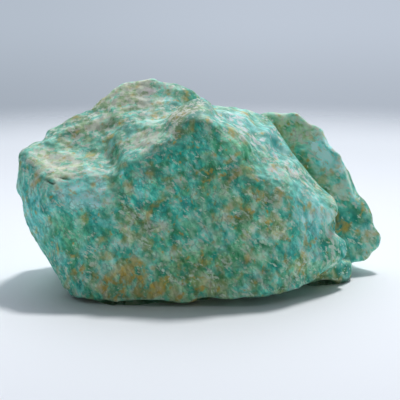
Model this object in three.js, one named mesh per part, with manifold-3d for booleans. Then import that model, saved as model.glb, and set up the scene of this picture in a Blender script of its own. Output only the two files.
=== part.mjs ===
// A lump of raw amazonite, broken out of its vein and lying on its flattest break.
// Millimetres, +Z up. The broad front break faces -Y and the lump is LENGTH long in X.
// It grew as one piece, so it is one solid: broken blocks grown together, their corners
// chipped, dished by flake scars, and cut flat where the lump rests.
import * as THREE from 'three';
import { ConvexHull } from 'three/addons/math/ConvexHull.js';
import { ImprovedNoise } from 'three/addons/math/ImprovedNoise.js';
import { mergeVertices } from 'three/addons/utils/BufferGeometryUtils.js';
import Module from 'manifold-3d';

// Driving dimensions, in millimetres.
const LENGTH = 73; // of the finished lump, along X
const CELL = 1.7; // spacing of the lattice that the surface is sampled on
const WELD = 1.2; // width of the fillet where two blocks meet
const SKIN = 0.3; // how far the surface stands out from the blocks' own faces

const SCAR = { size: 9, depth: 1.5 }; // flake scars dished into every break
const CHIP = { size: 4.4, depth: 0.7 }; // smaller scars over them
const LEVEL = 0.4; // how far from a scar's centre, in squared sizes, the surface is left as it was
// Cleavage steps: the way they climb, their pitch and height, the size of their waves, and
// the depth in Y over which they grow towards the back.
const STEP = { across: [0.2, 0.55, 0.8], pitch: 5.2, height: 0.8, wave: 9, from: 6, to: 19 };
const CRYSTALS = { centre: [13, 1, 29], reach: 15, size: 3.8, height: 0.9 }; // a patch of crystal ends

// The lump's blocks. Each is the convex hull of its corners, given as [x, y, z], and
// `soft` is how widely its own edges are rounded.
const BLOCKS = {
  frontBody: {
    soft: 0.5,
    corners: {
      notch: [-16.5, -14, 22.8],
      brow: [-12.5, -12, 28],
      browMiddle: [-6.8, -11, 30.8],
      apex: [0.4, -10, 34.2],
      ridgeMiddle: [4.6, -11, 32.7],
      ridgePoint: [9.3, -12.3, 25.7],
      bandEnd: [17, -11.5, 22.3],
      shoulder: [23, -7.5, 16.5],
      lipTop: [27.9, -1, 14.6],
      lipLow: [29.5, -3.5, 6.5],
      stripeMiddle: [13.5, -14, 17.8],
      stripeLow: [18, -14, 8.5],
      toeRight: [19.8, -11, 2.4],
      toeMiddle: [9.3, -17.5, 1.6],
      toe: [-0.2, -18.5, 1.1],
      toeLeft: [-17.3, -17.3, -0.4],
      heelLeft: [-20, 10, -0.4],
      heelRight: [18, 12, -0.4],
      saddleLeft: [-20, 2, 31],
      saddle: [-8, 0, 34],
      saddleRight: [1.2, 9, 34.8],
      gullyTop: [7.1, 11, 34.3],
      gullyHigh: [11, 12, 33.1],
      gullyMiddle: [19.8, 4, 22.9],
      gullyLow: [27.8, 2, 14.1],
    },
  },
  leftEnd: {
    soft: 2,
    corners: {
      crestFront: [-35.6, -3, 27.4],
      crestBack: [-35.2, 1, 28.2],
      crestRise: [-31.8, 3, 29.6],
      ledgeBack: [-27.7, -1, 28.3],
      ledgeRight: [-18.5, -4, 27.5],
      rimLeft: [-31.9, -11, 24.8],
      rim: [-26.7, -14, 23.4],
      notch: [-15, -14.3, 22.4],
      cheekHigh: [-36.4, 1, 23.5],
      cheek: [-36, -4, 17.5],
      cheekLow: [-35.2, -6, 13.9],
      jaw: [-33.2, -8, 9.4],
      chin: [-29.2, -10.5, 4.3],
      edgeMiddle: [-29.7, -13.5, 16.7],
      edgeLow: [-28.2, -13.3, 7.5],
      toeLeft: [-25.4, -14, 0.6],
      toeCorner: [-22.2, -16.4, -0.4],
      toe: [-17.3, -17.5, -0.4],
      backHigh: [-35.4, 13, 19],
      seam: [-28, 9, 25],
      backMiddle: [-33.5, 15, 12],
      backLow: [-28.5, 14.5, 3],
      heel: [-14, 12, -0.4],
    },
  },
  backShoulder: {
    soft: 1,
    corners: {
      ledgeBack: [-30, 0, 28.4],
      ledgeRight: [-19.1, -4, 27],
      crestLeft: [-31.4, 4, 29.4],
      crest: [-27, 6, 32.4],
      crestRight: [-22.8, 7, 34.5],
      step: [-20.4, 4, 33.4],
      backLeft: [-32.5, 15.5, 19.5],
      backHigh: [-20, 16, 29],
      backLow: [-24, 17, 5],
      heel: [-8, 18, -0.4],
      inside: [0, 0, 20],
    },
  },
  dome: {
    soft: 1.6,
    corners: {
      step: [-23.6, 7, 34.9],
      left: [-20.7, 8, 36.1],
      crownLeft: [-17, 8.7, 38.7],
      crown: [-11.8, 8.3, 40.1],
      crownRight: [-7.2, 8, 39.1],
      right: [-1.2, 6, 38.5],
      footLeft: [-20.5, 2, 32.4],
      foot: [-10, -1, 33.5],
      footRight: [-3.2, 2, 35.5],
      backLeft: [-20, 16, 30],
      back: [-8, 19, 32.5],
      backRight: [4, 16, 33],
      inside: [-8, 5, 15],
    },
  },
  peak: {
    soft: 0.5,
    corners: {
      crestLeft: [-6.6, -4, 34.9],
      crest: [-2.1, -2, 37.4],
      crestRight: [0.6, -2, 37],
      shoulder: [1.8, 2, 36],
      brow: [1.6, -7, 34.7],
      apex: [0.4, -10, 34.2],
      front: [-5, -9.5, 32.8],
      valleyLeft: [-5, 0, 33],
      valleyRight: [0.4, 4, 35],
      inside: [0, -4, 22],
    },
  },
  backBlock: {
    soft: 0.6,
    corners: {
      topLeft: [11.5, 14, 32.8],
      topMiddle: [18.2, 13.5, 31],
      topRight: [24.7, 12.5, 30.5],
      shoulder: [25, 15, 27.8],
      flank: [30.9, 13.5, 17.6],
      elbow: [35.1, 11.5, 11.7],
      tip: [37.3, 7, 5.2],
      keel: [34, 6, 1.8],
      keelLeft: [31.6, 4, 2.4],
      faceEdge: [24.2, 10.5, 22],
      faceLeft: [10, 9, 20],
      backTop: [9, 21, 28],
      backRight: [23, 21, 22],
      backLow: [28, 20, 4],
      heel: [18, 21, -0.4],
      heelLeft: [-2, 21, -0.4],
      inside: [12, 0, 4],
    },
  },
  backBody: {
    soft: 0.8,
    corners: {
      topLeft: [-19, 13, 31],
      top: [-8, 16.5, 33],
      topRight: [6, 17, 31.5],
      rightHigh: [15, 20, 26],
      rightLow: [17, 22, 6],
      heelRight: [12, 20, -0.4],
      heel: [-6, 21, -0.4],
      bulge: [-3, 23.5, 13],
      leftHigh: [-27, 13, 22],
      leftLow: [-25, 16.5, 6],
      heelLeft: [-20, 14, -0.4],
      inside: [0, 0, 4],
      insideHigh: [0, 0, 30],
      insideLeft: [-22, 2, 3],
      insideLeftHigh: [-22, 2, 24],
    },
  },
  foot: {
    soft: 0.8,
    corners: {
      left: [22.2, -3.9, -0.5],
      right: [28, -2.9, -0.5],
      outer: [30.6, 2, 1.2],
      top: [23.1, -4.4, 3.6],
      topRight: [29.6, -1, 5],
      back: [31, 5, 3],
      heel: [18, 12, -0.4],
      inside: [12, -2, 3],
    },
  },
};

// Wedges split out of the blocks, as hulls of corners too.
const SPLITS = {
  ledgeNotch: {
    floorFront: [-16.2, -14.8, 21.2],
    floorBack: [-18, -4, 27.1],
    leftFront: [-18.6, -16, 25.5],
    leftBack: [-19.4, -4, 29.5],
    rightFront: [-14.4, -16, 25.5],
    rightBack: [-16.4, -4, 29.5],
  },
  domeValley: {
    floorLeft: [-12, -1.6, 32.6],
    floorRight: [-1.5, 1.5, 35.2],
    farLeft: [-12, 1.5, 35.4],
    farRight: [-1.2, 4.5, 38.6],
    nearLeft: [-11, -4, 36],
    nearRight: [0, -0.6, 38.6],
  },
  lipNotch: {
    floor: [24.6, -5.6, 12.2],
    outHigh: [29.4, -5, 15],
    outLow: [30.4, -6.4, 9.2],
    backHigh: [27, 4, 15],
    backLow: [29, 3, 9.2],
    front: [26.5, -9, 11.2],
  },
  backNotch: {
    floorFront: [34.2, 4, 10.4],
    floorBack: [34.6, 20, 10],
    highFront: [39, 4, 12],
    highBack: [39, 20, 11.8],
    lowFront: [39, 4, 5.4],
    lowBack: [39, 20, 5.2],
  },
};

const noise = new ImprovedNoise();

// A repeatable number from 0 to 1 for a lattice point and a channel.
function hash(i, j, k, channel) {
  const s = Math.sin(i * 127.1 + j * 311.7 + k * 74.7 + channel * 53.3) * 43758.5453;
  return s - Math.floor(s);
}

// The squared distance to the nearest of many scattered centres, in squared sizes.
function scatter(p, size) {
  const [x, y, z] = [p.x / size, p.y / size, p.z / size];
  const [i0, j0, k0] = [Math.floor(x), Math.floor(y), Math.floor(z)];
  let nearest = Infinity;
  for (let i = i0 - 1; i <= i0 + 1; i++) {
    for (let j = j0 - 1; j <= j0 + 1; j++) {
      for (let k = k0 - 1; k <= k0 + 1; k++) {
        const dx = i + hash(i, j, k, 0) - x;
        const dy = j + hash(i, j, k, 1) - y;
        const dz = k + hash(i, j, k, 2) - z;
        nearest = Math.min(nearest, dx * dx + dy * dy + dz * dz);
      }
    }
  }
  return nearest;
}

// The flat faces of the hull of some corners, as planes.
function hullPlanes(corners) {
  const points = Object.values(corners).map((corner) => new THREE.Vector3(...corner));
  const { faces } = new ConvexHull().setFromPoints(points);
  return faces.map(({ normal, constant }) => ({ normal, constant }));
}

const blocks = Object.values(BLOCKS).map(({ soft, corners }) => ({ soft, planes: hullPlanes(corners) }));
const splits = Object.values(SPLITS).map((corners) => ({ soft: 0, planes: hullPlanes(corners) }));

// The lesser of two distances, blended where they differ by less than the width.
function blend(a, b, width) {
  const share = width > 0 ? Math.max(1 - Math.abs(a - b) / width, 0) : 0;
  return Math.min(a, b) - (share * share * width) / 4;
}

function hullDistance({ soft, planes }, p) {
  let distance = -Infinity;
  for (const { normal, constant } of planes) {
    distance = -blend(-distance, constant - normal.dot(p), soft);
  }
  return distance;
}

// Distance from the smooth lump's surface, negative inside.
function smoothLump(p) {
  let distance = Infinity;
  for (const block of blocks) distance = blend(distance, hullDistance(block, p), WELD);
  distance -= SKIN;
  for (const split of splits) distance = Math.max(distance, -hullDistance(split, p));
  return distance;
}

const stepAcross = new THREE.Vector3(...STEP.across).normalize();
const crystalCentre = new THREE.Vector3(...CRYSTALS.centre);

// The steps rise slowly and drop sharply.
function stepHeight(p) {
  const wave = noise.noise(p.x / STEP.wave, p.y / STEP.wave, p.z / STEP.wave);
  const climb = p.dot(stepAcross) / STEP.pitch + wave;
  const share = THREE.MathUtils.smoothstep(p.y, STEP.from, STEP.to);
  return STEP.height * share * (0.5 - (climb - Math.floor(climb)));
}

// The crystal ends stand out, and fade towards the edge of their patch.
function crystalHeight(p) {
  const inward = Math.max(1 - p.distanceTo(crystalCentre) / CRYSTALS.reach, 0);
  return CRYSTALS.height * Math.min(2 * inward, 1) * (LEVEL - scatter(p, CRYSTALS.size));
}

// Distance from the broken lump's surface. Scars dish it at their centres and leave a ridge
// where they meet.
function lump(p) {
  const scars = SCAR.depth * (scatter(p, SCAR.size) - LEVEL);
  const chips = CHIP.depth * (scatter(p, CHIP.size) - LEVEL);
  return smoothLump(p) - scars - chips - stepHeight(p) - crystalHeight(p);
}

// The direction in which a field grows fastest, measured over a short way each side.
function gradient(field, p, reach = 0.4) {
  const rise = ['x', 'y', 'z'].map((axis) => {
    const ahead = p.clone();
    const behind = p.clone();
    ahead[axis] += reach;
    behind[axis] -= reach;
    return field(ahead) - field(behind);
  });
  return new THREE.Vector3(...rise).normalize();
}

// A lattice of samples of a field, with the index and the place of each.
function sampleLattice(field, box, cell) {
  const size = box.getSize(new THREE.Vector3());
  const counts = size.toArray().map((length) => Math.ceil(length / cell) + 1);
  const [nx, ny, nz] = counts;
  const index = (i, j, k) => (k * ny + j) * nx + i;
  const place = (i, j, k) => new THREE.Vector3(i, j, k).multiplyScalar(cell).add(box.min);
  const indexPlace = (id) => place(id % nx, Math.floor(id / nx) % ny, Math.floor(id / (nx * ny)));
  const values = new Float64Array(nx * ny * nz);
  for (let id = 0; id < values.length; id++) values[id] = field(indexPlace(id));
  return { counts, index, place, indexPlace, values };
}

// Whether the corners picked out of a lattice cell hang together along its edges. Corner c
// is bit c of the mask, and c & 1, c & 2 and c & 4 tell its side in X, Y and Z.
function hangTogether(mask) {
  let reached = mask & -mask;
  for (let before = -1; before !== reached; ) {
    before = reached;
    for (let c = 0; c < 8; c++) {
      const neighbours = (1 << (c ^ 1)) | (1 << (c ^ 2)) | (1 << (c ^ 4));
      if (before & (1 << c)) reached |= neighbours & mask;
    }
  }
  return reached === mask;
}

const pinched = Array.from({ length: 256 }, (_, mask) => !hangTogether(mask) || !hangTogether(255 - mask));

// Fills the cells where two sheets of the surface would touch, corner by corner, so that it
// stays one closed skin. A filled corner is put this far inside.
function fillPinches({ counts: [nx, ny, nz], index, values }, inside) {
  for (let found = true; found; ) {
    found = false;
    for (let k = 0; k < nz - 1; k++) {
      for (let j = 0; j < ny - 1; j++) {
        for (let i = 0; i < nx - 1; i++) {
          const corners = [];
          for (let c = 0; c < 8; c++) corners.push(index(i + (c & 1), j + ((c >> 1) & 1), k + (c >> 2)));
          const mask = corners.reduce((bits, id, c) => bits | (values[id] < 0 ? 1 << c : 0), 0);
          if (!pinched[mask]) continue;
          const outside = corners.filter((id) => values[id] >= 0);
          const nearest = outside.reduce((a, b) => (values[a] < values[b] ? a : b));
          values[nearest] = -inside;
          found = true;
        }
      }
    }
  }
}

// The lattice edges that the surface crosses: where, which way it faces there, and the four
// cells round the edge, in the order that faces their quad outwards.
function crossedEdges(field, { counts: [nx, ny, nz], index, place, values }) {
  const crossings = [];
  const shifts = [[0, 0], [-1, 0], [-1, -1], [0, -1]];
  for (let k = 1; k < nz - 1; k++) {
    for (let j = 1; j < ny - 1; j++) {
      for (let i = 1; i < nx - 1; i++) {
        for (let axis = 0; axis < 3; axis++) {
          const end = [i, j, k];
          end[axis] += 1;
          const here = values[index(i, j, k)];
          const there = values[index(...end)];
          if (here < 0 === there < 0) continue;
          const point = place(i, j, k).lerp(place(...end), here / (here - there));
          const cells = shifts.map(([u, v]) => {
            const cell = [i, j, k];
            cell[(axis + 1) % 3] += u;
            cell[(axis + 2) % 3] += v;
            return index(...cell);
          });
          if (here >= 0) cells.reverse();
          crossings.push({ point, normal: gradient(field, point), cells });
        }
      }
    }
  }
  return crossings;
}

// The vertex of a cell: the middle of the crossings round it, drawn onto their planes, so
// that ridges stay sharp. It keeps a little way inside its cell.
function cellVertex(low, cell, crossings) {
  const margin = 0.03 * cell;
  const floor = low.clone().addScalar(margin);
  const ceiling = low.clone().addScalar(cell - margin);
  const vertex = new THREE.Vector3();
  for (const { point } of crossings) vertex.addScaledVector(point, 1 / crossings.length);
  for (let pass = 0; pass < 12; pass++) {
    const pull = new THREE.Vector3();
    for (const { point, normal } of crossings) {
      pull.addScaledVector(normal, normal.dot(point.clone().sub(vertex)) / crossings.length);
    }
    vertex.addScaledVector(pull, 0.9).clamp(floor, ceiling);
  }
  return vertex;
}

// Covers the surface where a field is zero: a vertex in each cell it passes through, and a
// quad round each lattice edge it crosses, split along its shorter diagonal.
function surfaceOf(field, box, cell) {
  const lattice = sampleLattice(field, box, cell);
  fillPinches(lattice, 0.1 * cell);
  const crossings = crossedEdges(field, lattice);
  const around = new Map(); // the crossings round each cell
  for (const crossing of crossings) {
    for (const id of crossing.cells) around.set(id, [...(around.get(id) ?? []), crossing]);
  }
  const ids = [...around.keys()];
  const vertices = ids.map((id) => cellVertex(lattice.indexPlace(id), cell, around.get(id)));
  const order = new Map(ids.map((id, n) => [id, n]));
  const indices = [];
  for (const { cells } of crossings) {
    const [a, b, c, d] = cells.map((id) => order.get(id));
    const acrossAC = vertices[a].distanceTo(vertices[c]);
    const acrossBD = vertices[b].distanceTo(vertices[d]);
    if (acrossAC < acrossBD) indices.push(a, b, c, a, c, d);
    else indices.push(a, b, d, b, c, d);
  }
  return new THREE.BufferGeometry().setFromPoints(vertices).setIndex(indices);
}

const wasm = await Module();
wasm.setup();

function solidOf(geometry) {
  const bare = new THREE.BufferGeometry().setAttribute('position', geometry.getAttribute('position'));
  const merged = mergeVertices(bare.setIndex(geometry.getIndex()));
  const vertProperties = merged.attributes.position.array;
  const triVerts = new Uint32Array(merged.index.array);
  return new wasm.Manifold(new wasm.Mesh({ numProp: 3, vertProperties, triVerts }));
}

function geometryOf(solid) {
  const { vertProperties, triVerts } = solid.getMesh();
  const geometry = new THREE.BufferGeometry();
  geometry.setAttribute('position', new THREE.BufferAttribute(vertProperties, 3));
  return geometry.setIndex(new THREE.BufferAttribute(triVerts, 1));
}

// Cuts away everything below the resting plane. A vertex that lies almost on the plane is
// moved clear of it first, so that the cut leaves no slivers.
function cutFlat(geometry) {
  const clearance = 0.2;
  const { position } = geometry.attributes;
  for (let v = 0; v < position.count; v++) {
    const z = position.getZ(v);
    if (Math.abs(z) < clearance) position.setZ(v, z < 0 ? -clearance : clearance);
  }
  const ground = new THREE.BoxGeometry(200, 200, 40).translate(0, 0, -20);
  return geometryOf(solidOf(geometry).subtract(solidOf(ground)));
}

// Centres the lump over the origin and brings it to its length.
function settle(geometry) {
  geometry.computeBoundingBox();
  const { min, max } = geometry.boundingBox;
  const scale = LENGTH / (max.x - min.x);
  geometry.translate(-(min.x + max.x) / 2, -(min.y + max.y) / 2, 0);
  geometry.scale(scale, scale, scale);
  geometry.computeVertexNormals();
  return geometry;
}

// The lattice is turned out of line with the lump's faces, so that its rows don't show.
const turn = new THREE.Quaternion().setFromEuler(new THREE.Euler(0.5, 0.6, 0.4));
const unturn = new THREE.Matrix4().makeRotationFromQuaternion(turn.clone().invert());
const room = new THREE.Box3(new THREE.Vector3(-42, -26, -6), new THREE.Vector3(44, 30, 46));
const surface = surfaceOf((p) => lump(p.clone().applyQuaternion(turn)), room.applyMatrix4(unturn), CELL);

const stone = new THREE.MeshStandardMaterial({ color: 0x4f9c86, roughness: 0.6, metalness: 0 });
const amazonite = new THREE.Mesh(settle(cutFlat(surface.applyQuaternion(turn))), stone);
amazonite.name = 'amazonite_lump';

const specimen = new THREE.Group();
specimen.add(amazonite);

export default specimen;
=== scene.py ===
import math

import bpy
import numpy as np
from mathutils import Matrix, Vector


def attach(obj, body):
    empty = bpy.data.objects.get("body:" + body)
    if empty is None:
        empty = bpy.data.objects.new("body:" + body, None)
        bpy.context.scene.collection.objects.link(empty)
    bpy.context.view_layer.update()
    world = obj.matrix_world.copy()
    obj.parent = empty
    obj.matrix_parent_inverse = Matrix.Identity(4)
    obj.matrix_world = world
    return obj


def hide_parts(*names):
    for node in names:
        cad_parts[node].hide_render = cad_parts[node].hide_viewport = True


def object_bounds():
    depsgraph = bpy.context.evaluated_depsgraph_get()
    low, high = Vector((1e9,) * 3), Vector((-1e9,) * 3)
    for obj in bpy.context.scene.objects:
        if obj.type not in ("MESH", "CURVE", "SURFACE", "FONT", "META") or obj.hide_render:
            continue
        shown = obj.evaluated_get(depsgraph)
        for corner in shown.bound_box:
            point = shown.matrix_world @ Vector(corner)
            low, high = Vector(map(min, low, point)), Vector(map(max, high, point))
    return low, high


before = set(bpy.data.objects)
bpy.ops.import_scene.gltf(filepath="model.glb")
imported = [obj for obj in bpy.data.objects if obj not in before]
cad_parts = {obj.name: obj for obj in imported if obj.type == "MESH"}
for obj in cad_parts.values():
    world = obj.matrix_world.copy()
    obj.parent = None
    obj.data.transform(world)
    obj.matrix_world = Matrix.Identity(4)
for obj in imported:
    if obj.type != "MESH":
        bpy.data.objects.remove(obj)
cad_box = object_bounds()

MM = 0.001  # a millimetre in metres; the stone's own sizes below are in millimetres

# ---------------------------------------------------------------- noise in three dimensions

# Large numbers that scatter a cell's place and channel over the whole range.
SCATTER_X = 73856093
SCATTER_Y = 19349663
SCATTER_Z = 83492791
SCATTER_CHANNEL = 2654435761
MIXER = 1274126177
LARGEST = 0xFFFFFF

# Each pattern of the surface has channels of its own, so that no two of them agree.
CHANNEL = {
    "hackle": 0,
    "flakes": 20,
    "grain": 40,
    "wave": 50,
    "fibre": 60,
    "streak": 70,
    "tints": 80,
    "undercut": 90,
    "steps": 100,
    "chips": 130,
}
CENTRES = 10  # how much further on the channels are that place a pattern's scattered centres
HEIGHTS = 20  # how much further on the channel is that gives those centres their heights


def lattice_value(cell, channel):
    """A repeatable number from 0 to 1 for each row of whole numbers."""
    mixed = cell[:, 0] * SCATTER_X ^ cell[:, 1] * SCATTER_Y ^ cell[:, 2] * SCATTER_Z
    mixed = mixed ^ channel * SCATTER_CHANNEL
    mixed = (mixed ^ (mixed >> 13)) * MIXER
    mixed = (mixed ^ (mixed >> 16)) & LARGEST
    return mixed / float(LARGEST)


def smooth_noise(points, size, channel=0):
    """Smooth noise from -1 to 1, with features of the given size."""
    scaled = points / size
    low = np.floor(scaled).astype(np.int64)
    share = scaled - low
    share = share * share * (3 - 2 * share)
    total = np.zeros(len(points))
    for corner in np.ndindex(2, 2, 2):
        offset = np.array(corner)
        weight = np.where(offset == 1, share, 1 - share).prod(axis=1)
        total += weight * lattice_value(low + offset, channel)
    return total * 2 - 1


def layered_noise(points, size, channel=0, layers=3):
    """Smooth noise with finer layers on top."""
    total = np.zeros(len(points))
    for layer in range(layers):
        total += smooth_noise(points, size / 2**layer, channel + layer) / 2**layer
    return total / (2 - 2 ** (1 - layers))


def noise_vector(points, size, channel, noise):
    """Noise of its own along each of the three axes."""
    return np.stack([noise(points, size, channel + axis) for axis in range(3)], axis=1)


def ridged_noise(points, size, channel):
    """Noise from 0 to 1 with sharp crests, in three layers."""
    layers = 3
    total = np.zeros(len(points))
    for layer in range(layers):
        total += (1 - np.abs(smooth_noise(points, size / 2**layer, channel + layer))) / 2**layer
    return total / (2 - 2 ** (1 - layers))


def nearest_centre(points, size, channel):
    """The nearest of many scattered centres: its squared distance, in squared sizes, and its cell."""
    scaled = points / size
    low = np.floor(scaled).astype(np.int64)
    nearest = np.full(len(points), np.inf)
    home = low.copy()
    for step in np.ndindex(3, 3, 3):
        cell = low + np.array(step) - 1
        places = [lattice_value(cell, channel + CENTRES + axis) for axis in range(3)]
        distance = ((scaled - (cell + np.stack(places, axis=1))) ** 2).sum(axis=1)
        closer = distance < nearest
        nearest[closer] = distance[closer]
        home[closer] = cell[closer]
    return nearest, home


def scatter(points, size, channel):
    """The squared distance to the nearest scattered centre, in squared sizes."""
    return nearest_centre(points, size, channel)[0]


def blocks(points, size, channel):
    """A random height from -1 to 1 for each of many scattered blocks, with steps between them."""
    home = nearest_centre(points, size, channel)[1]
    return lattice_value(home, channel + HEIGHTS) * 2 - 1


def smoothstep(value, start, end):
    share = np.clip((value - start) / (end - start), 0, 1)
    return share * share * (3 - 2 * share)


def along(points, pattern):
    """The points in a space where a pattern's features are stretched along its way, and 1 wide."""
    way = np.array(pattern["way"], float)
    way /= np.linalg.norm(way)
    reach = points @ way
    level = (points - reach[:, None] * way) / pattern["size"]
    return level + reach[:, None] * way / pattern["length"]


def from_line(points, line):
    """How far each point is from a line of named points."""
    nearest = np.full(len(points), np.inf)
    corners = [np.array(corner, float) for corner in line.values()]
    for start, end in zip(corners, corners[1:]):
        way = end - start
        share = np.clip((points - start) @ way / (way @ way), 0, 1)
        nearest = np.minimum(nearest, np.linalg.norm(points - start - share[:, None] * way, axis=1))
    return nearest


# ---------------------------------------------------------------- the stone's fine surface

GRID = 0.36  # spacing of the fine surface that covers the solid
EVEN = {"share": 0.5, "rounds": 3}  # the smoothing that follows, which takes the solid's facets off

# Which faces count as the top and the front, by their normals' Z and -Y, and where the right of
# the top lies, in X. Each starts to count at the first number and counts in full at the second.
TOP = (0.2, 0.6)
FRONT = (0.2, 0.5)
RIGHT = (-2, 5)

# Relief laid over the solid, coarse to fine: the size of its features and how deep they are. Where
# it has a depth of its own on the right of the top, that is "right".
HACKLE = {"size": 2.6, "depth": 0.17, "right": 0.36}
FLAKES = {"size": 1.4, "depth": 0.1, "right": 0.22}
GRAIN = {"size": 0.7, "depth": 0.03, "layers": 2}
FIBRE = {"way": (1, 0.1, -0.12), "length": 2.4, "size": 0.9, "depth": 0.02, "right": 0.0}
STREAK = {"way": (0.36, 0, -0.93), "length": 2.6, "size": 0.8, "depth": 0.1}
STEPS = {"way": (0.9, 0.2, -0.35), "length": 1.9, "size": 1.6, "top": 0.12, "side": 0.1}
CHIPS = {"way": (0.5, 0.4, -0.7), "length": 1.5, "size": 1.0, "depth": 0.06}
WAVE = {"size": 3.5, "amount": 0.7}  # how the relief that has a way wanders from it
SCATTER_LEVEL = 0.4  # values at which scattered and ridged relief neither rises nor sinks
RIDGED_LEVEL = 0.6
RELIEF_OFF_TABLE = (0.1, 1.0)  # heights over which the relief sets in above the table

# How much the relief is softened: least on the front, more on the top, most at the back right,
# which lies where "slope" times X, plus Y, goes from the first edge to the second.
SOFTEN = {"rounds": 5, "front": 0.12, "top": 0.25, "back": 0.7, "off_table": (0.1, 0.6)}
BACK_RIGHT = {"slope": 0.5, "edges": (-1, 5)}
SOFT_TOP = 0.35  # how much of the back's soft colouring the top has
RIDGE_ROUNDS = 3

# Where edges are worn round: the middle and reach of each worn place.
WORN = [
    ((-29.0, -14.0, 23.0), 5.5),
    ((-25.5, -15.8, 22.3), 6.5),
    ((-21.2, -16.4, 21.8), 6.5),
    ((-17.5, -13.0, 23.5), 3.5),
    ((-2.0, 3.0, 36.0), 4.5),
    ((-19.0, 5.0, 36.5), 5.0),
    ((17.0, -12.5, 21.5), 4.5),
    ((10.0, -13.8, 26.5), 3.5),
    ((13.5, -13.0, 24.0), 3.5),
]
WEAR = {"rounds": 55, "share": 0.6, "least": 0.08, "fade": (0.4, 1.2), "off_table": (0.3, 1.5)}

# Edges broken off flat: the way the break faces, how far out it lies that way, its middle and its reach.
BREAKS = [
    {"way": (0.5, -0.5, 0.7), "out": 30.75, "middle": (6.5, -13.0, 30.3), "reach": 5.5},
    {"way": (0.45, -0.5, 0.74), "out": 29.6, "middle": (12.0, -13.8, 25.0), "reach": 6.0},
    {"way": (-0.05, -0.75, 0.66), "out": 26.6, "middle": (-22.0, -16.0, 21.5), "reach": 8.0},
    {"way": (0.93, -0.2, 0.38), "out": 32.1, "middle": (30.5, 8.0, 19.3), "reach": 5.5},
    {"way": (0.93, -0.2, 0.38), "out": 30.4, "middle": (25.0, 9.0, 27.2), "reach": 3.0},
]
BREAK_FADE = (0.6, 1.1)  # the shares of its reach between which a break fades

# The front of the stone stands clear of the table by this much, over hollows this deep.
UNDERCUTS = [
    {"height": 0.6, "depth": 6.0, "left": -20.0, "right": 27.0},
    {"height": 1.1, "depth": 11.0, "left": -2.0, "right": 21.0},
]
UNDERCUT_END = 4.0  # how far in from its ends a hollow reaches its full depth
UNDERCUT_EDGE = (-0.25, 0.15)  # how far below and above its height a hollow's upper edge reaches
UNEVEN = {"size": 4, "height": 0.3, "layers": 2}

# The front's lowest edge is drawn out and down over this stretch, up to a top.
LIP = {"out": 1.2, "down": 1.1, "left": -2.0, "right": 24.0, "top": 8.0}
LIP_ENDS = {"left": 6.0, "right": 3.0}  # how far in from its ends the lip is whole
LIP_WHOLE_BELOW = 1.0
LIP_DOWN_OVER = 2.2  # the height above which the lip is drawn down in full

# Open cracks: two under the rim of the left ledge, and one at the right end.
CRACKS = [
    {"left": (-31.5, -11.1, 23.0), "middle": (-29.8, -12.8, 22.7), "right": (-28.4, -14.1, 22.3)},
    {"left": (-27.3, -13.0, 23.5), "middle": (-26.3, -13.3, 23.2), "right": (-25.2, -13.7, 22.9)},
    {"top": (26.6, 4.3, 12.2), "middle": (27.0, 3.8, 10.6), "foot": (27.5, 3.0, 8.7)},
]
CRACK = {"width": 0.24, "depth": 0.5, "wander": 0.6, "fade": (0.3, 1.4)}


def fine_copy(node, name):
    """An evenly meshed copy of a solid."""
    copy = bpy.data.objects.new(name, node.data.copy())
    bpy.context.scene.collection.objects.link(copy)
    copy.data.materials.clear()
    remesh = copy.modifiers.new("even", "REMESH")
    remesh.mode = "VOXEL"
    remesh.voxel_size = GRID * MM
    smooth = copy.modifiers.new("smooth", "SMOOTH")
    smooth.factor = EVEN["share"]
    smooth.iterations = EVEN["rounds"]
    evaluated = copy.evaluated_get(bpy.context.evaluated_depsgraph_get())
    mesh = bpy.data.meshes.new_from_object(evaluated)
    bpy.data.objects.remove(copy)
    stone = bpy.data.objects.new(name, mesh)
    bpy.context.scene.collection.objects.link(stone)
    return stone


def read(mesh, what):
    values = np.empty(len(mesh.vertices) * 3)
    mesh.vertices.foreach_get(what, values)
    return values.reshape(-1, 3)


def move(mesh, place):
    """Puts the mesh's points at these places, in mm."""
    mesh.vertices.foreach_set("co", (place * MM).ravel())
    mesh.update()


def store(mesh, name, values):
    layer = mesh.attributes.new(name, "FLOAT", "POINT")
    layer.data.foreach_set("value", values)


def neighbours(mesh):
    """For each edge its two ends, and for each point how many edges meet there."""
    edges = np.empty(len(mesh.edges) * 2, np.int64)
    mesh.edges.foreach_get("vertices", edges)
    start, end = edges.reshape(-1, 2).T
    points = len(mesh.vertices)
    count = np.bincount(start, minlength=points) + np.bincount(end, minlength=points)
    return start, end, count


def around(values, start, end, count):
    """The mean of each point's neighbours."""
    points = len(values)
    total = [
        np.bincount(start, values[end, axis], points) + np.bincount(end, values[start, axis], points)
        for axis in range(3)
    ]
    return np.stack(total, axis=1) / count[:, None]


def break_edges(mesh):
    """Takes the corner off an edge, as far as a flat break."""
    place = read(mesh, "co") / MM
    for chip in BREAKS:
        way = np.array(chip["way"]) / np.linalg.norm(chip["way"])
        away = np.linalg.norm(place - np.array(chip["middle"]), axis=1) / chip["reach"]
        near = 1 - smoothstep(away, *BREAK_FADE)
        beyond = np.maximum(place @ way - chip["out"], 0)
        place -= (near * beyond)[:, None] * way
    move(mesh, place)


def wear(mesh):
    """Rounds the edges, most of all where the stone is worn."""
    place = read(mesh, "co") / MM
    share = np.full(len(place), WEAR["least"])
    for centre, reach in WORN:
        distance = np.linalg.norm(place - np.array(centre), axis=1)
        share = np.maximum(share, 1 - smoothstep(distance / reach, *WEAR["fade"]))
    share = (share * smoothstep(place[:, 2], *WEAR["off_table"]))[:, None]
    links = neighbours(mesh)
    for _ in range(WEAR["rounds"]):
        place += WEAR["share"] * share * (around(place, *links) - place)
    move(mesh, place)


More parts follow.
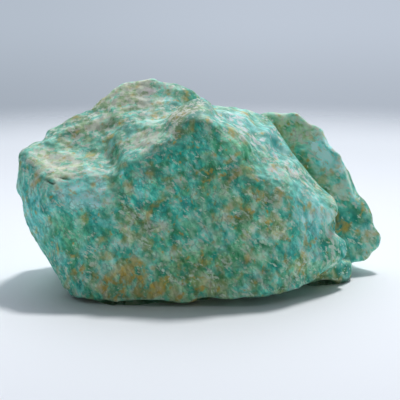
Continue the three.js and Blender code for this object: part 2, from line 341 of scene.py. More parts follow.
def draw_lip(place, front):
    """Draws the front's lowest edge out and down."""
    across = place[:, 0].copy()
    lip = front * smoothstep(across, LIP["left"], LIP["left"] + LIP_ENDS["left"])
    lip *= 1 - smoothstep(across, LIP["right"] - LIP_ENDS["right"], LIP["right"])
    lip *= 1 - smoothstep(place[:, 2], LIP_WHOLE_BELOW, LIP["top"])
    place[:, 1] -= LIP["out"] * lip
    place[:, 2] -= LIP["down"] * lip * smoothstep(place[:, 2], 0, LIP_DOWN_OVER)


def undercut(mesh):
    """Draws out the front's lowest edge and hollows it below, so that a dark gap runs along the table."""
    place = read(mesh, "co") / MM
    front = smoothstep(-read(mesh, "normal")[:, 1], *FRONT)
    across = place[:, 0].copy()
    draw_lip(place, front)
    level = place * (1, 1, 0)
    uneven = UNEVEN["height"] * layered_noise(level, UNEVEN["size"], CHANNEL["undercut"], UNEVEN["layers"])
    back = np.zeros(len(place))
    for hollow in UNDERCUTS:
        share = front * smoothstep(across, hollow["left"], hollow["left"] + UNDERCUT_END)
        share *= 1 - smoothstep(across, hollow["right"] - UNDERCUT_END, hollow["right"])
        share *= 1 - smoothstep(place[:, 2] - hollow["height"] - uneven, *UNDERCUT_EDGE)
        back = np.maximum(back, hollow["depth"] * share)
    place[:, 1] += back
    move(mesh, place)


def depth_of(relief, right):
    """How deep a relief is at each point, given how far the point is on the right of the top."""
    return relief["depth"] + (relief["right"] - relief["depth"]) * right


def scars(place, right):
    """Small dished scars, with a fine grain over them."""
    hackle = scatter(place, HACKLE["size"], CHANNEL["hackle"]) - SCATTER_LEVEL
    flakes = scatter(place, FLAKES["size"], CHANNEL["flakes"]) - SCATTER_LEVEL
    grain = GRAIN["depth"] * layered_noise(place, GRAIN["size"], CHANNEL["grain"], GRAIN["layers"])
    return depth_of(HACKLE, right) * hackle + depth_of(FLAKES, right) * flakes + grain


def cleavage(wavy, upward, right):
    """Broken fibres and cleaved blocks that stand at slightly different heights."""
    # Fibres lie along the top, and steeper streaks run down the sides.
    fibre = ridged_noise(along(wavy, FIBRE), 1, CHANNEL["fibre"]) - RIDGED_LEVEL
    streak = ridged_noise(along(wavy, STREAK), 1, CHANNEL["streak"]) - RIDGED_LEVEL
    rise = upward * (fibre * depth_of(FIBRE, right)) + STREAK["depth"] * (1 - upward) * streak
    step = blocks(along(wavy, STEPS), 1, CHANNEL["steps"])
    rise += step * (STEPS["side"] + (STEPS["top"] - STEPS["side"]) * upward)
    rise += CHIPS["depth"] * blocks(along(wavy, CHIPS), 1, CHANNEL["chips"])
    return rise


def cracked(place, wavy):
    """How far each point lies in a crack, from 0 to 1."""
    crack = np.zeros(len(place))
    for line in CRACKS:
        away = from_line(place + CRACK["wander"] * (wavy - place), line) / CRACK["width"]
        crack = np.maximum(crack, 1 - smoothstep(away, *CRACK["fade"]))
    return crack


def roughen(mesh):
    """Moves the surface in and out along its normals, as broken feldspar is rough."""
    place = read(mesh, "co") / MM
    normal = read(mesh, "normal")
    upward = smoothstep(normal[:, 2], *TOP)
    right = upward * smoothstep(place[:, 0], *RIGHT)
    wavy = place + WAVE["amount"] * noise_vector(place, WAVE["size"], CHANNEL["wave"], smooth_noise)
    crack = cracked(place, wavy)
    rise = (scars(place, right) + cleavage(wavy, upward, right)) * (1 - crack) - CRACK["depth"] * crack
    place += normal * (rise * smoothstep(place[:, 2], *RELIEF_OFF_TABLE))[:, None]
    low, high = (np.array(corner) / MM for corner in cad_box)
    move(mesh, np.clip(place, low, high))
    store(mesh, "crack", crack)


def soften(mesh):
    """Takes the sharpness off the relief, where it is older and more weathered."""
    place = read(mesh, "co") / MM
    upward = smoothstep(read(mesh, "normal")[:, 2], *TOP)
    share = SOFTEN["front"] + (SOFTEN["top"] - SOFTEN["front"]) * upward
    back = smoothstep(BACK_RIGHT["slope"] * place[:, 0] + place[:, 1], *BACK_RIGHT["edges"])
    share += (SOFTEN["back"] - share) * back
    links = neighbours(mesh)
    for _ in range(SOFTEN["rounds"]):
        shift = share[:, None] * (around(place, *links) - place)
        place += shift * smoothstep(place[:, 2:], *SOFTEN["off_table"])
    move(mesh, place)
    store(mesh, "soft", np.maximum(back, SOFT_TOP * upward))


def store_ridges(mesh):
    """Marks how far each point stands out from those around it, averaged over a few steps."""
    place = read(mesh, "co") / MM
    links = neighbours(mesh)
    spread = place
    for _ in range(RIDGE_ROUNDS):
        spread = around(spread, *links)
    store(mesh, "ridge", ((place - spread) * read(mesh, "normal")).sum(axis=1))


# ---------------------------------------------------------------- the stone's colours

RAGGED = {"size": 4, "amount": 1.8}  # how far the edge of a stain or tint wanders
TINT_FADE = (0.3, 1.15)  # the shares of its reach between which a stain or tint fades

# Where each stain or tint lies on the stone: its middle, to the nearest millimetre, and its reach. The
# places were picked on the photograph, and most were then read off the stone with a measuring script.
TINTS = {
    "rust": [
        ((-14, -19, 5), 3.4),
        ((-11, -20, 4), 3.4),
        ((-8, -20, 4), 2.6),
        ((-18, -18, 4), 2.0),
        ((-24, -17, 6), 1.8),
        ((27, 4, 10), 2.5),
    ],
    "olive": [
        ((-2, -20, 3), 8.0),
        ((-16, -19, 3), 6.5),
        ((8, -15, 25), 3.0),
        ((10, -16, 20), 4.0),
        ((14, -16, 14), 4.0),
        ((18, -15, 7), 3.5),
        ((2, -15, 23), 4.0),
        ((-4, -9, 35), 3.5),
        ((7, -16, 17), 5.0),
        ((29, 2, 10), 3.0),
        ((16, 9, 28), 3.5),
        ((20, 6, 22), 3.5),
        ((24, 6, 18), 3.0),
        ((24, -7, 2), 4.0),
    ],
    "deep": [
        ((-2, -14, 28), 7.5),
        ((-7, -15, 26), 3.5),
        ((3, -14, 30), 4.0),
        ((-10, -17, 19), 4.0),
        ((-4, -17, 18), 5.0),
        ((-7, -18, 13), 2.5),
        ((-26, -16, 14), 4.5),
        ((-19, -17, 16), 4.0),
        ((31, 7, 17), 3.0),
        ((-4, 5, 37), 2.5),
        ((29, 6, 14), 3.5),
    ],
    "cyan": [
        ((-23, -17, 20), 7.0),
        ((-33, -10, 16), 8.0),
        ((7, -2, 33), 5.5),
        ((14, 0, 27), 7.0),
        ((20, -10, 16), 7.0),
        ((25, 8, 24), 5.0),
        ((17, -15, 10), 4.0),
        ((13, -13, 24), 4.0),
        ((18, -13, 20), 4.0),
    ],
    "pale": [
        ((-27, -9, 25), 8.5),
        ((-20, -12, 24), 4.0),
        ((-27, -15, 22), 3.5),
        ((-23, -15, 21), 5.0),
        ((-19, -16, 21), 4.0),
        ((-11, -10, 30), 4.5),
        ((-6, -11, 32), 2.5),
        ((-16, 4, 36), 5.0),
        ((-10, 3, 37), 6.0),
        ((-10, -3, 33), 5.5),
        ((6, 1, 34), 2.5),
        ((15, -11, 25), 3.5),
        ((22, -10, 16), 4.5),
        ((20, 10, 28), 5.5),
        ((23, 8, 26), 4.5),
        ((30, 8, 19), 3.5),
        ((24, 9, 25), 5.0),
        ((26, 8, 22), 4.5),
        ((28, 6, 17), 3.5),
        ((32, 4, 8), 3.0),
        ((24, -8, 15), 2.5),
        ((26, -7, 11), 2.5),
        # These five paint a pale rim along the rear block's right edge, a painted highlight.
        ((23, 10, 29), 3.0),
        ((26, 9, 26), 3.0),
        ((27, 8, 23), 3.0),
        ((29, 7, 19), 3.0),
        ((30, 6, 16), 3.0),
        ((16, 10, 31), 3.0),
        ((-19, -1, 31), 3.5),
        ((-18, -7, 27), 2.5),
    ],
    "tan": [
        ((-18, 3, 35), 6.5),
        ((-13, 4, 38), 6.0),
        ((-4, -8, 35), 4.5),
        ((-24, -1, 30), 5.0),
        ((-31, -7, 26), 4.0),
        ((-27, -9, 25), 6.0),
        ((-22, -17, 16), 2.2),
        ((-10, -18, 12), 4.0),
        ((-13, -18, 15), 4.0),
        ((4, -19, 9), 2.5),
        ((18, -15, 8), 2.5),
        ((-11, -10, 30), 3.5),
        ((-5, -12, 33), 4.0),
    ],
    "lush": [
        ((4, -14, 32), 3.0),
        ((6, -14, 30), 3.0),
        ((9, -14, 27), 3.0),
        ((12, 9, 31), 3.0),
        ((16, 10, 31), 4.0),
        ((20, 10, 30), 3.5),
        ((6, -12, 32), 2.5),
        ((8, -12, 30), 2.5),
        ((9, -12, 28), 2.5),
        ((10, -13, 25), 3.5),
        ((13, -13, 24), 3.5),
        ((16, -13, 22), 3.0),
        ((-2, -18, 8), 8.0),
        ((7, -18, 9), 6.0),
        ((-25, -16, 14), 5.0),
    ],
    "blush": [
        ((-10, 3, 37), 2.5),
        ((14, 1, 28), 3.0),
        ((3, -6, 34), 3.5),
        ((6, -3, 33), 4.0),
        ((9, -6, 30), 4.0),
        ((12, -4, 29), 3.5),
        ((14, -4, 26), 3.5),
        ((17, -6, 24), 3.5),
        ((14, -10, 24), 3.5),
        ((20, -6, 21), 3.5),
        ((7, -9, 31), 3.0),
    ],
    # These spots are partly dirt and partly painted shade, in hollows under the dome and beside the gap
    # between the front and the rear block.
    "soil_and_shade": [
        ((31, 7, 8), 5.0),
        ((-9, -1, 34), 4.0),
        ((-12, 2, 36), 3.0),
        ((-6, 1, 35), 3.0),
        ((3, -3, 35), 3.0),
        ((23, -7, 2), 5.0),
        ((27, -4, 2), 5.0),
        ((26, -1, 11), 4.0),
        ((28, 4, 10), 3.0),
        ((-2, -6, 36), 4.0),
        ((14, 0, 28), 3.0),
        ((20, 6, 22), 2.5),
        ((-18, -10, 24), 2.5),
        ((-5, -9, 35), 4.5),
        ((-2, -11, 35), 3.5),
        ((-14, -5, 32), 3.0),
        ((27, 4, 11), 2.2),
    ],
    # A painted pool of light: brightens the front's upper rim, the rear block's face and the front's upper
    # right edge.
    "light": [
        ((-14, -16, 24), 4.0),
        ((-10, -16, 22), 4.5),
        ((-6, -16, 23), 4.0),
        ((-15, -16, 21), 3.5),
        ((-23, -15, 21), 4.0),
        ((-19, -16, 21), 4.0),
        ((-26, -14, 22), 3.0),
        ((20, 9, 27), 3.5),
        ((23, 8, 26), 3.5),
        ((24, 8, 23), 3.0),
        ((6, -13, 31), 2.5),
        ((8, -13, 29), 2.5),
        ((-7, 2, 36), 4.0),
    ],
}


def tint_weight(ragged, spots):
    """How strongly the spots of one tint reach each point, from 0 to 1."""
    weight = np.zeros(len(ragged))
    for centre, reach in spots:
        distance = np.linalg.norm(ragged - np.array(centre), axis=1)
        weight = np.maximum(weight, 1 - smoothstep(distance / reach, *TINT_FADE))
    return weight


def store_tints(mesh):
    place = read(mesh, "co") / MM
    wander = noise_vector(place, RAGGED["size"], CHANNEL["tints"], layered_noise)
    ragged = place + RAGGED["amount"] * wander
    for name, spots in TINTS.items():
        store(mesh, name, tint_weight(ragged, spots))


class Shader:
    """A material's node tree, with each node made and linked in one call."""

    def __init__(self, name):
        self.material = bpy.data.materials.new(name)
        self.material.use_nodes = True
        self.tree = self.material.node_tree
        self.tree.nodes.clear()

    def node(self, kind, settings=None, **inputs):
        made = self.tree.nodes.new(kind)
        for key, value in (settings or {}).items():
            setattr(made, key, value)
        for key, value in inputs.items():
            self.feed(made, key.replace("_", " "), value)
        return made

    def feed(self, made, name, value):
        """Links or sets one input, named, or numbered as in "#2"."""
        socket = made.inputs[int(name[1:])] if name.startswith("#") else made.inputs[name]
        if isinstance(value, bpy.types.NodeSocket):
            self.tree.links.new(value, socket)
        else:
            socket.default_value = value

    def math(self, operation, a, b=0.0):
        made = self.node("ShaderNodeMath", {"operation": operation})
        self.feed(made, "#0", a)
        self.feed(made, "#1", b)
        return made.outputs[0]

    def times(self, a, b):
        return self.math("MULTIPLY", a, b)

    def plus(self, a, b):
        return self.math("ADD", a, b)

    def ramp(self, value, start, end, low=0.0, high=1.0):
        """A value that goes smoothly from low to high as another goes from start to end."""
        made = self.node("ShaderNodeMapRange", {"interpolation_type": "SMOOTHSTEP"}, Value=value)
        for name, given in (("From Min", start), ("From Max", end), ("To Min", low), ("To Max", high)):
            self.feed(made, name, given)
        return made.outputs[0]

    def mix(self, share, a, b, blend="MIX"):
        settings = {"data_type": "RGBA", "blend_type": blend, "clamp_factor": True}
        made = self.node("ShaderNodeMix", settings)
        self.feed(made, "#0", share)
        self.feed(made, "#6", a)
        self.feed(made, "#7", b)
        return made.outputs[2]

    def multiply(self, a, b):
        return self.mix(1.0, a, b, "MULTIPLY")

    def either(self, share, a, b):
        made = self.node("ShaderNodeMix", {"data_type": "FLOAT"})
        self.feed(made, "#0", share)
        self.feed(made, "#2", a)
        self.feed(made, "#3", b)
        return made.outputs[0]

    def vector_math(self, operation, a, b):
        made = self.node("ShaderNodeVectorMath", {"operation": operation})
        self.feed(made, "#0", a)
        self.feed(made, "Scale" if operation == "SCALE" else "#1", b)
        return made.outputs[0]

    def attribute(self, name):
        return self.node("ShaderNodeAttribute", {"attribute_name": name}).outputs["Fac"]

    def leant(self, value, leanings):
        """A value raised or lowered where each tint lies."""
        for name, weight in leanings.items():
            value = self.plus(value, self.times(self.attribute(name), weight))
        return value

    def place(self, size, turn=(0, 0, 0), shift=(0, 0, 0), start=None):
        """Coordinates on the stone in which a feature of the given size, in mm, is 1 long."""
        coordinates = start or self.node("ShaderNodeTexCoord").outputs["Object"]
        made = self.node("ShaderNodeMapping", {"vector_type": "TEXTURE"}, Vector=coordinates)
        size = (size, size, size) if isinstance(size, (int, float)) else size
        made.inputs["Scale"].default_value = [s * MM for s in size]
        made.inputs["Rotation"].default_value = [math.radians(a) for a in turn]
        made.inputs["Location"].default_value = [s * MM for s in shift]
        return made.outputs[0]

    def warped(self, size, amount):
        """Object coordinates pushed about by smooth noise, so that what follows isn't straight."""
        push = self.node("ShaderNodeTexNoise", Vector=self.place(size), Scale=1.0, Detail=2.0)
        centred = self.vector_math("SUBTRACT", push.outputs["Color"], (0.5, 0.5, 0.5))
        scaled = self.vector_math("SCALE", centred, amount * MM)
        coordinates = self.node("ShaderNodeTexCoord").outputs["Object"]
        return self.vector_math("ADD", coordinates, scaled)

    def noise(self, vector, detail=2.0, roughness=0.5):
        made = self.node("ShaderNodeTexNoise", Vector=vector, Scale=1.0, Detail=detail, Roughness=roughness)
        return made.outputs["Fac"]

    def cells(self, vector):
        """A random value for each of many scattered grains."""
        made = self.node("ShaderNodeTexVoronoi", Vector=vector, Scale=1.0)
        return self.node("ShaderNodeSeparateColor", Color=made.outputs["Color"]).outputs[0]

    def seams(self, vector):
        """How far a point is from the nearest seam between grains."""
        made = self.node("ShaderNodeTexVoronoi", {"feature": "DISTANCE_TO_EDGE"}, Vector=vector, Scale=1.0)
        return made.outputs["Distance"]

    def scale(self, value, colours):
        """Colours along a scale of values, given as {value: (red, green, blue)}."""
        made = self.node("ShaderNodeValToRGB", Fac=value)
        stops = made.color_ramp.elements
        while len(stops) < len(colours):
            stops.new(0.5)
        for stop, (position, colour) in zip(stops, sorted(colours.items())):
            stop.position = position
            stop.color = (*colour, 1)
        return made.outputs["Color"]


# The stone's colours from its darkest grains to its palest, as linear red, green and blue.
TEAL = {
    0.35: (0.02, 0.34, 0.25),
    0.43: (0.05, 0.50, 0.38),
    0.50: (0.11, 0.64, 0.49),
    0.57: (0.24, 0.75, 0.60),
    0.67: (0.53, 0.88, 0.75),
}
GREEN = {
    0.35: (0.05, 0.33, 0.17),
    0.43: (0.11, 0.47, 0.27),
    0.50: (0.21, 0.60, 0.39),
    0.57: (0.35, 0.70, 0.51),
    0.67: (0.61, 0.84, 0.69),
}
AQUA = {
    0.35: (0.04, 0.40, 0.34),
    0.43: (0.09, 0.55, 0.47),
    0.50: (0.18, 0.69, 0.61),
    0.57: (0.33, 0.79, 0.72),
    0.67: (0.60, 0.91, 0.85),
}
OLIVE = {
    0.35: (0.10, 0.29, 0.12),
    0.43: (0.19, 0.42, 0.21),
    0.50: (0.31, 0.55, 0.31),
    0.57: (0.46, 0.66, 0.45),
    0.67: (0.67, 0.80, 0.65),
}

# What multiplies the colour where each tint lies, and how much of it is taken up there.
ZONES = {
    "deep": (0.72, 0.99, 1.02, 1),
    "olive": (1.3, 0.98, 0.82, 1),
    "cyan": (0.98, 1.08, 1.13, 1),
    "lush": (0.95, 1.05, 0.9, 1),
    "tan": (1.3, 1.05, 0.92, 1),
    # a painted pool of light
    "light": (1.2, 1.28, 1.32, 1),
    # partly dirt, partly painted shade
    "soil_and_shade": (0.93, 0.82, 0.86, 1),
}
ZONE_SHARE = 0.8
FRESH = (0.55, 0.74, 0.70, 1)  # what multiplies the colour at the back
OCHRE = (0.60, 0.44, 0.09, 1)
STAIN = (0.56, 0.46, 0.15, 1)
CREAM_SIDE = (0.63, 0.79, 0.66, 1)
CREAM_TOP = (0.64, 0.69, 0.59, 1)
BLUSH = (0.76, 0.72, 0.73, 1)
# A near-black green: the seams between grains, painted shade in furrows and cracks, and the darkening towards
# the table.
SEAM_AND_SHADE_DARK = (0.05, 0.13, 0.08, 1)
CREST_PAINTED_HIGHLIGHT = (0.62, 0.78, 0.68, 1)
FACET_DARK = (0.76, 0.76, 0.76, 1)  # what multiplies the darkest and the brightest cleaved grains
FACET_BRIGHT = (1.2, 1.2, 1.2, 1)

# The material's patterns: the size of their features in mm, how they are turned, in degrees, and how
# far they are shifted, in mm, so that no two of them agree.
PATTERNS = {
    "steep": {"size": (2.6, 1.6, 1.6), "turn": (0, 66, 0)},
    "level": {"size": (2.3, 1.6, 1.4), "turn": (0, 0, 8), "shift": (9, 3, 1)},
    "green": {"size": (3.4, 2.6, 2.6), "turn": (0, 50, 0)},
    "aqua": {"size": 2.8, "shift": (40, 0, 0)},
    "warm": {"size": (2.0, 2.0, 2.6), "turn": (0, 30, 0), "shift": (25, 8, 31)},
    "warm zone": {"size": 5.5, "shift": (2, 31, 7)},
    "fleck zone": {"size": 5.0, "shift": (51, 3, 17)},
    "side fleck": {"size": (1.5, 0.75, 0.75), "turn": (0, 35, 0), "shift": (5, 44, 12)},
    "top fleck": {"size": (1.1, 1.1, 0.8), "shift": (23, 5, 12)},
    "cream grain": {"size": (0.9, 0.4, 0.4), "turn": (0, 52, 0), "shift": (7, 7, 2)},
    "grain cluster": {"size": 2.6, "shift": (3, 21, 44)},
    "blush": {"size": 1.5, "shift": (8, 61, 5)},
    "line": {"size": (2.2, 0.7, 0.7), "turn": (0, 52, 0), "shift": (61, 4, 2)},
    "line patch": {"size": 2.4, "shift": (14, 15, 16)},
    "rust": {"size": 1.1, "shift": (70, 10, 5)},
    "facet": {"size": (1.2, 0.7, 0.7), "turn": (0, 60, 0)},
    "seam": {"size": (1.5, 0.9, 0.9), "turn": (0, 62, 0), "shift": (1, 2, 3)},
    "seam patch": {"size": 1.8, "shift": (33, 1, 2)},
    "foot_dark": {"size": 2.0, "shift": (5, 5, 5)},
    "fine": {"size": 0.45},
    "gloss": {"size": 1.2, "shift": (3, 9, 2)},
}

# Where each of them sets in: the value at which it starts, the value from which it is whole, and, where
# they aren't 0 and 1, how much of it there is at the first and at the second.
ONSETS = {
    "top": (0.3, 0.6),
    "back": (0.2, 0.75),
    "green": (0.44, 0.60),
    "aqua": (0.52, 0.61, 0, 0.8),
    "olive": (0.52, 0.66, 0, 0.95),
    "fleck": (0.555, 0.63, 0, 0.9),
    "cream grain": (0.82, 0.9, 0, 0.6),
    "grain cluster": (0.42, 0.6),
    "blush": (0.5, 0.62, 0, 0.75),
    "line": (0.0, 0.02, 0.55, 0.0),
    "line patch": (0.5, 0.62),
    "stain": (0.6, 0.76, 0, 0.7),
    "ochre": (0.62, 0.76, 0, 0.8),
    "seam": (0.0, 0.12, 1.0, 0.0),
    "seam patch": (0.48, 0.62),
    "crest": (0.035, 0.14, 0, 0.15),
    "furrow_shade": (-0.035, -0.165, 0, 0.4),
    "foot_dark": (0.7, -0.2, 0, 0.75),
    "gloss": (0.3, 0.7, 0.45, 0.75),
}

# How far each tint raises or lowers the pattern that a colour follows.
PALER = {"pale": 0.135, "deep": -0.03, "soil_and_shade": -0.09}
GREENER = {"lush": 0.15}
WARMER = {"olive": 0.13, "tan": 0.14, "cyan": -0.08, "deep": -0.07}
MORE_FLECKED = {"pale": 0.04, "tan": 0.07, "deep": -0.03, "cyan": -0.045}
STAINED = {"rust": 0.25}
RUSTIER = {"rust": 0.08, "olive": 0.07}

PALE_SPREAD = 0.9  # the pale pattern's contrast, its level, and how much darker it is on the top
PALE_LEVEL = 0.045
PALE_ON_TOP = -0.07
ZONE_SPREAD = 0.3  # how far the broad zones raise or lower the finer patterns in them
AQUA_TINT = 0.8  # how much aqua the cyan tint adds
CREAM_VEIL = 0.17  # the thin cream over all of the top
# How dark the cracks are painted: painted shade inside them.
CRACK_DARK = 0.75
FOOT_DARK_WANDER = -1.2  # mm by which the darkening at the foot of the stone climbs and falls

# Pairs of amounts, for fresh and for soft surface, or for the sides and for the top.
PALE_DETAIL = (5.0, 2.0)
FLECK_DETAIL = (4.0, 1.5)
CREAM_GRAIN_SHARE = (1.0, 0.3)
FACET_SHARE = (0.85, 0.25)
SEAM_SHARE = (0.4, 0.2)
FLECK_SHARE = (1.0, 0.75)

# The finish: small bumps, a dull to faintly waxy gloss, and a little light let through.
BUMP = {"Strength": 0.3, "Distance": 0.14 * MM}
BUMP_FINE = 0.5
BUMP_SEAM = -0.3
FINISH = {
    "IOR": 1.53,
    "Specular IOR Level": 0.25,
    "Subsurface Weight": 0.12,
    "Subsurface Radius": (0.7, 1.0, 0.9),
    "Subsurface Scale": 1.2 * MM,
}
WARP = {"size": 3.0, "amount": 0.7}


class Amazonite(Shader):
    """Mottled teal and green feldspar with cream flecks, rusty stains and some dirt, a painted highlight on
    crests, painted shade in furrows, cracks and hollows, and darker towards the table.
    """

    def __init__(self):
        super().__init__("amazonite")
        self.warp = self.warped(**WARP)
        self.soft = self.attribute("soft")
        facing = self.node("ShaderNodeNewGeometry").outputs["Normal"]
        facing = self.node("ShaderNodeSeparateXYZ", Vector=facing)
        self.top = self.ramp(facing.outputs["Z"], *ONSETS["top"])
        self.back = self.ramp(facing.outputs["Y"], *ONSETS["back"])
        self.warm = self.pattern("warm", 2.5)
        self.pale = self.paleness()
        self.seam = self.seam_lines()

        colour = self.mottled()
        colour = self.flecked(colour)
        colour = self.mix(self.back, colour, self.multiply(colour, FRESH))
        colour = self.rusted(colour)
        colour = self.shaded(colour)
        self.finish(colour)

    def pattern(self, name, detail=2.0, roughness=0.5):
        """A pattern that wanders with the stone's grain."""
        return self.noise(self.place(**PATTERNS[name], start=self.warp), detail, roughness)

    def straight(self, name, detail=2.0, roughness=0.5):
        """A pattern that doesn't."""
        return self.noise(self.place(**PATTERNS[name]), detail, roughness)

    def patch(self, name):
        return self.ramp(self.straight(name), *ONSETS[name])

    def zone(self, name):
        """Broad zones that raise or lower a finer pattern."""
        return self.times(self.plus(self.pattern(name), -0.5), ZONE_SPREAD)

    def paleness(self):
        """How pale each grain is: steep streaks on the sides, level ones on the top."""
        detail = self.either(self.soft, *PALE_DETAIL)
        steep = self.pattern("steep", detail, 0.6)
        level = self.pattern("level", detail, 0.6)
        pale = self.plus(self.times(self.either(self.top, steep, level), PALE_SPREAD), PALE_LEVEL)
        pale = self.plus(pale, self.times(self.top, PALE_ON_TOP))
        return self.leant(pale, PALER)

    def seam_lines(self):
        """Dark seams here and there between cleaved grains."""
        seam = self.seams(self.place(**PATTERNS["seam"], start=self.warp))
        return self.times(self.ramp(seam, *ONSETS["seam"]), self.patch("seam patch"))

    def mottled(self):
        """Teal that leans to green, aqua or olive, in zones and in grains."""
        green = self.ramp(self.leant(self.pattern("green", 2.5), GREENER), *ONSETS["green"])
        colour = self.mix(green, self.scale(self.pale, TEAL), self.scale(self.pale, GREEN))
        aqua = self.ramp(self.pattern("aqua", 2.5), *ONSETS["aqua"])
        aqua = self.plus(aqua, self.times(self.attribute("cyan"), AQUA_TINT))
        colour = self.mix(aqua, colour, self.scale(self.pale, AQUA))
        warm = self.leant(self.plus(self.warm, self.zone("warm zone")), WARMER)
        colour = self.mix(self.ramp(warm, *ONSETS["olive"]), colour, self.scale(self.pale, OLIVE))
        # Among the zones are a painted pool of light and spots that are partly painted shade.
        for name, tint in ZONES.items():
            share = self.times(self.attribute(name), ZONE_SHARE)
            colour = self.mix(share, colour, self.multiply(colour, tint))
        return colour

    def flecks(self):
        """How much cream each point has from its flecks."""
        detail = self.either(self.soft, *FLECK_DETAIL)
        side = self.pattern("side fleck", detail, 0.65)
        top = self.pattern("top fleck", detail, 0.65)
        fleck = self.plus(self.either(self.top, side, top), self.zone("fleck zone"))
        fleck = self.ramp(self.leant(fleck, MORE_FLECKED), *ONSETS["fleck"])
        return self.times(fleck, self.either(self.top, *FLECK_SHARE))

    def flecked(self, colour):
        """Cream flecks, grains and thin lines, where the feldspar has cleaved."""
        cream = self.mix(self.top, CREAM_SIDE, CREAM_TOP)
        colour = self.mix(self.plus(self.flecks(), self.times(self.top, CREAM_VEIL)), colour, cream)
        grain = self.cells(self.place(**PATTERNS["cream grain"], start=self.warp))
        grain = self.ramp(grain, *ONSETS["cream grain"])
        grain = self.times(grain, self.either(self.soft, *CREAM_GRAIN_SHARE))
        colour = self.mix(self.times(grain, self.patch("grain cluster")), colour, cream)
        blush = self.ramp(self.pattern("blush"), *ONSETS["blush"])
        colour = self.mix(self.times(blush, self.attribute("blush")), colour, BLUSH)
        line = self.math("ABSOLUTE", self.plus(self.pattern("line", 3, 0.6), -0.5))
        line = self.times(self.ramp(line, *ONSETS["line"]), self.patch("line patch"))
        return self.mix(line, colour, cream)

    def rusted(self, colour):
        """Rusty grains, scattered thinly, and thickly where the stain is."""
        stain = self.ramp(self.leant(self.warm, STAINED), *ONSETS["stain"])
        colour = self.mix(stain, colour, STAIN)
        ochre = self.ramp(self.leant(self.pattern("rust", 2.5), RUSTIER), *ONSETS["ochre"])
        return self.mix(ochre, colour, OCHRE)

    def shaded(self, colour):
        """Cleaved grains that catch the light unevenly, dark seams, a painted highlight on crests, painted
        shade in furrows and cracks, and darker towards the table.
        """
        facet = self.cells(self.place(**PATTERNS["facet"], start=self.warp))
        facet = self.mix(facet, FACET_DARK, FACET_BRIGHT)
        colour = self.mix(self.either(self.soft, *FACET_SHARE), colour, facet, "MULTIPLY")
        seam_share = self.either(self.math("MAXIMUM", self.soft, self.top), *SEAM_SHARE)
        colour = self.mix(self.times(self.seam, seam_share), colour, SEAM_AND_SHADE_DARK)
        ridge = self.attribute("ridge")
        # Painted highlight: crests are painted pale.
        colour = self.mix(self.ramp(ridge, *ONSETS["crest"]), colour, CREST_PAINTED_HIGHLIGHT)
        # Painted shade: furrows are painted dark.
        colour = self.mix(self.ramp(ridge, *ONSETS["furrow_shade"]), colour, SEAM_AND_SHADE_DARK)
        # Painted shade: the cracks are painted dark inside.
        colour = self.mix(self.times(self.attribute("crack"), CRACK_DARK), colour, SEAM_AND_SHADE_DARK)
        # Darker towards the table, over the lowest millimetre or two of the stone.
        height = self.node("ShaderNodeSeparateXYZ", Vector=self.place(1.0)).outputs["Z"]
        height = self.plus(height, self.times(self.straight("foot_dark", 3), FOOT_DARK_WANDER))
        return self.mix(self.ramp(height, *ONSETS["foot_dark"]), colour, SEAM_AND_SHADE_DARK)

    def finish(self, colour):
        height = self.plus(self.times(self.straight("fine", 3, 0.6), BUMP_FINE), self.pale)
        height = self.plus(height, self.times(self.seam, BUMP_SEAM))
        bump = self.node("ShaderNodeBump", Height=height, **BUMP).outputs[0]
        rough = self.ramp(self.straight("gloss", 3), *ONSETS["gloss"])
        shader = self.node("ShaderNodeBsdfPrincipled", Base_Color=colour, Roughness=rough, Normal=bump)
        for name, value in FINISH.items():
            shader.inputs[name].default_value = value
        self.node("ShaderNodeOutputMaterial", Surface=shader.outputs[0])


def make_stone():
    stone = fine_copy(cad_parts["amazonite_lump"], "stone")
    break_edges(stone.data)
    wear(stone.data)
    undercut(stone.data)
    roughen(stone.data)
    soften(stone.data)
    store_ridges(stone.data)
    store_tints(stone.data)
    stone.data.materials.append(Amazonite().material)
    stone.data.polygons.foreach_set("use_smooth", [True] * len(stone.data.polygons))
    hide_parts("amazonite_lump")
    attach(stone, "root")


# ---------------------------------------------------------------- floor, light and camera

TABLE = {
    "colour": (0.82, 0.85, 0.86, 1),
    "edge_colour": (0.61, 0.65, 0.67, 1),
    "darkens": (40, 170),  # mm from the middle over which it turns to its edge's colour, a painted falloff of the light
    "fades": (150, 225),  # mm from the middle over which it fades into the backdrop
    "radius": 230,
    "sides": 96,
    "roughness": 0.65,
    "gloss": 0.3,
}


def make_floor():
    s = Shader("pale table")
    radius = s.node("ShaderNodeVectorMath", {"operation": "LENGTH"})
    s.feed(radius, "#0", s.node("ShaderNodeTexCoord").outputs["Object"])
    away = radius.outputs["Value"]
    # Painted falloff of light: the table darkens away from the stone.
    dark = s.ramp(away, *(edge * MM for edge in TABLE["darkens"]))
    colour = s.mix(dark, TABLE["colour"], TABLE["edge_colour"])
    shader = s.node("ShaderNodeBsdfPrincipled", Base_Color=colour, Roughness=TABLE["roughness"])
    shader.inputs["Specular IOR Level"].default_value = TABLE["gloss"]
    blend = s.node("ShaderNodeMixShader")
    s.feed(blend, "#0", s.ramp(away, *(edge * MM for edge in TABLE["fades"])))
    s.feed(blend, "#1", shader.outputs[0])
    s.feed(blend, "#2", s.node("ShaderNodeBsdfTransparent").outputs[0])
    s.node("ShaderNodeOutputMaterial", Surface=blend.outputs[0])
    bpy.ops.mesh.primitive_circle_add(vertices=TABLE["sides"], radius=TABLE["radius"] * MM, fill_type="NGON")
    floor = bpy.context.object
    floor.name = "table"
    floor.data.materials.append(s.material)


KEY = {"way": (0.2, 0.46, 1.0), "distance": 800, "size": 105, "power": 4.5, "colour": (1.0, 0.98, 1.0)}

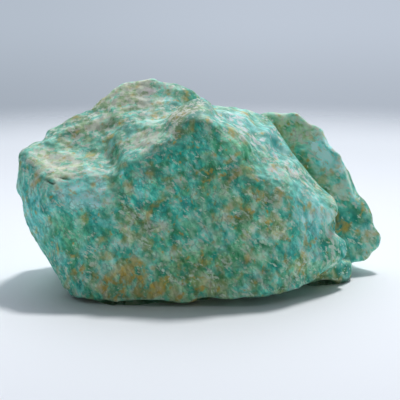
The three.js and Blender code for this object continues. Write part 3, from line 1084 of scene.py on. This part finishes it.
# Soft light from each side of the room: the way to its middle, how narrow it is, its strength and its colour.
GLOWS = [
    {"way": (0, 0.75, 0.65), "narrow": 4, "strength": 1.9, "colour": (0.95, 1.0, 1.15)},
    {"way": (0, 0, 1), "narrow": 4, "strength": 0.05, "colour": (0.8, 1.0, 1.0)},
    {"way": (0, -1, 0), "narrow": 30, "strength": 2.5, "colour": (1.09, 1.06, 0.92)},
    {"way": (1, 0, 0), "narrow": 15, "strength": 1.12, "colour": (0.88, 1.0, 1.13)},
    {"way": (-1, 0, 0), "narrow": 15, "strength": 0.72, "colour": (0.75, 1.0, 1.2)},
]

# The backdrop, and the shares of its directions' X and Z over which it changes.
WALL = {
    "left": (0.45, 0.51, 0.59, 1),
    "right": (0.52, 0.58, 0.67, 1),
    "low": (0.84, 0.84, 0.84, 1),  # what multiplies it just above the table's edge
    "left_to_right": (-0.14, 0.06),
    "high_to_low": (-0.11, -0.165),
    "from_sky": (0.0, -0.06),
}


class Room(Shader):
    """The light all round: a few soft glows from above the level, and a grey-blue backdrop below it."""

    def __init__(self):
        self.world = bpy.data.worlds.new("room")
        self.world.use_nodes = True
        self.tree = self.world.node_tree
        self.tree.nodes.clear()
        direction = self.node("ShaderNodeTexCoord").outputs["Generated"]
        parts = self.node("ShaderNodeSeparateXYZ", Vector=direction)
        sky = (0.0, 0.0, 0.0, 1)
        for glow in GLOWS:
            sky = self.mix(1.0, sky, self.glow(direction, glow), "ADD")
        across = self.ramp(parts.outputs["X"], *WALL["left_to_right"])
        wall = self.mix(across, WALL["left"], WALL["right"])
        low = self.ramp(parts.outputs["Z"], *WALL["high_to_low"])
        wall = self.multiply(wall, self.mix(low, (1, 1, 1, 1), WALL["low"]))
        below = self.ramp(parts.outputs["Z"], *WALL["from_sky"])
        background = self.node("ShaderNodeBackground", Color=self.mix(below, sky, wall))
        self.node("ShaderNodeOutputWorld", Surface=background.outputs[0])

    def glow(self, direction, glow):
        """Light that is strongest towards one side and fades away from it."""
        towards = self.node("ShaderNodeVectorMath", {"operation": "DOT_PRODUCT"})
        self.feed(towards, "#0", direction)
        self.feed(towards, "#1", Vector(glow["way"]).normalized())
        fall = self.math("POWER", self.math("MAXIMUM", towards.outputs["Value"], 0.0), glow["narrow"])
        strength = self.times(fall, glow["strength"])
        return self.multiply((*glow["colour"], 1), self.grey(strength))

    def grey(self, value):
        return self.node("ShaderNodeCombineColor", Red=value, Green=value, Blue=value).outputs[0]


def make_light():
    bpy.context.scene.world = Room().world
    data = bpy.data.lights.new("key", "AREA")
    data.shape = "DISK"
    data.size = KEY["size"] * MM
    data.energy = KEY["power"]
    data.color = KEY["colour"]
    light = bpy.data.objects.new("key", data)
    bpy.context.scene.collection.objects.link(light)
    way = Vector(KEY["way"]).normalized()
    light.location = way * KEY["distance"] * MM
    light.rotation_euler = way.to_track_quat("Z", "Y").to_euler()


# The camera looks along +Y and down by 12 degrees, from about a third of a metre away.
CAMERA = {
    "place": (-0.38, -322.4, 87.9),
    "fall": 12.0,
    "lens": 150.0,
    "shift": (-0.0025, -0.0418),
    "sees": (10, 10000),  # mm: the nearest and the farthest that it sees
}


def make_camera():
    data = bpy.data.cameras.new("camera")
    data.lens = CAMERA["lens"]
    data.shift_x, data.shift_y = CAMERA["shift"]
    data.clip_start, data.clip_end = (distance * MM for distance in CAMERA["sees"])
    camera = bpy.data.objects.new("camera", data)
    bpy.context.scene.collection.objects.link(camera)
    camera.location = Vector(CAMERA["place"]) * MM
    camera.rotation_euler = (math.radians(90 - CAMERA["fall"]), 0, 0)
    bpy.context.scene.camera = camera


make_stone()
make_floor()
make_light()
make_camera()
bpy.context.scene.view_settings.view_transform = "Standard"
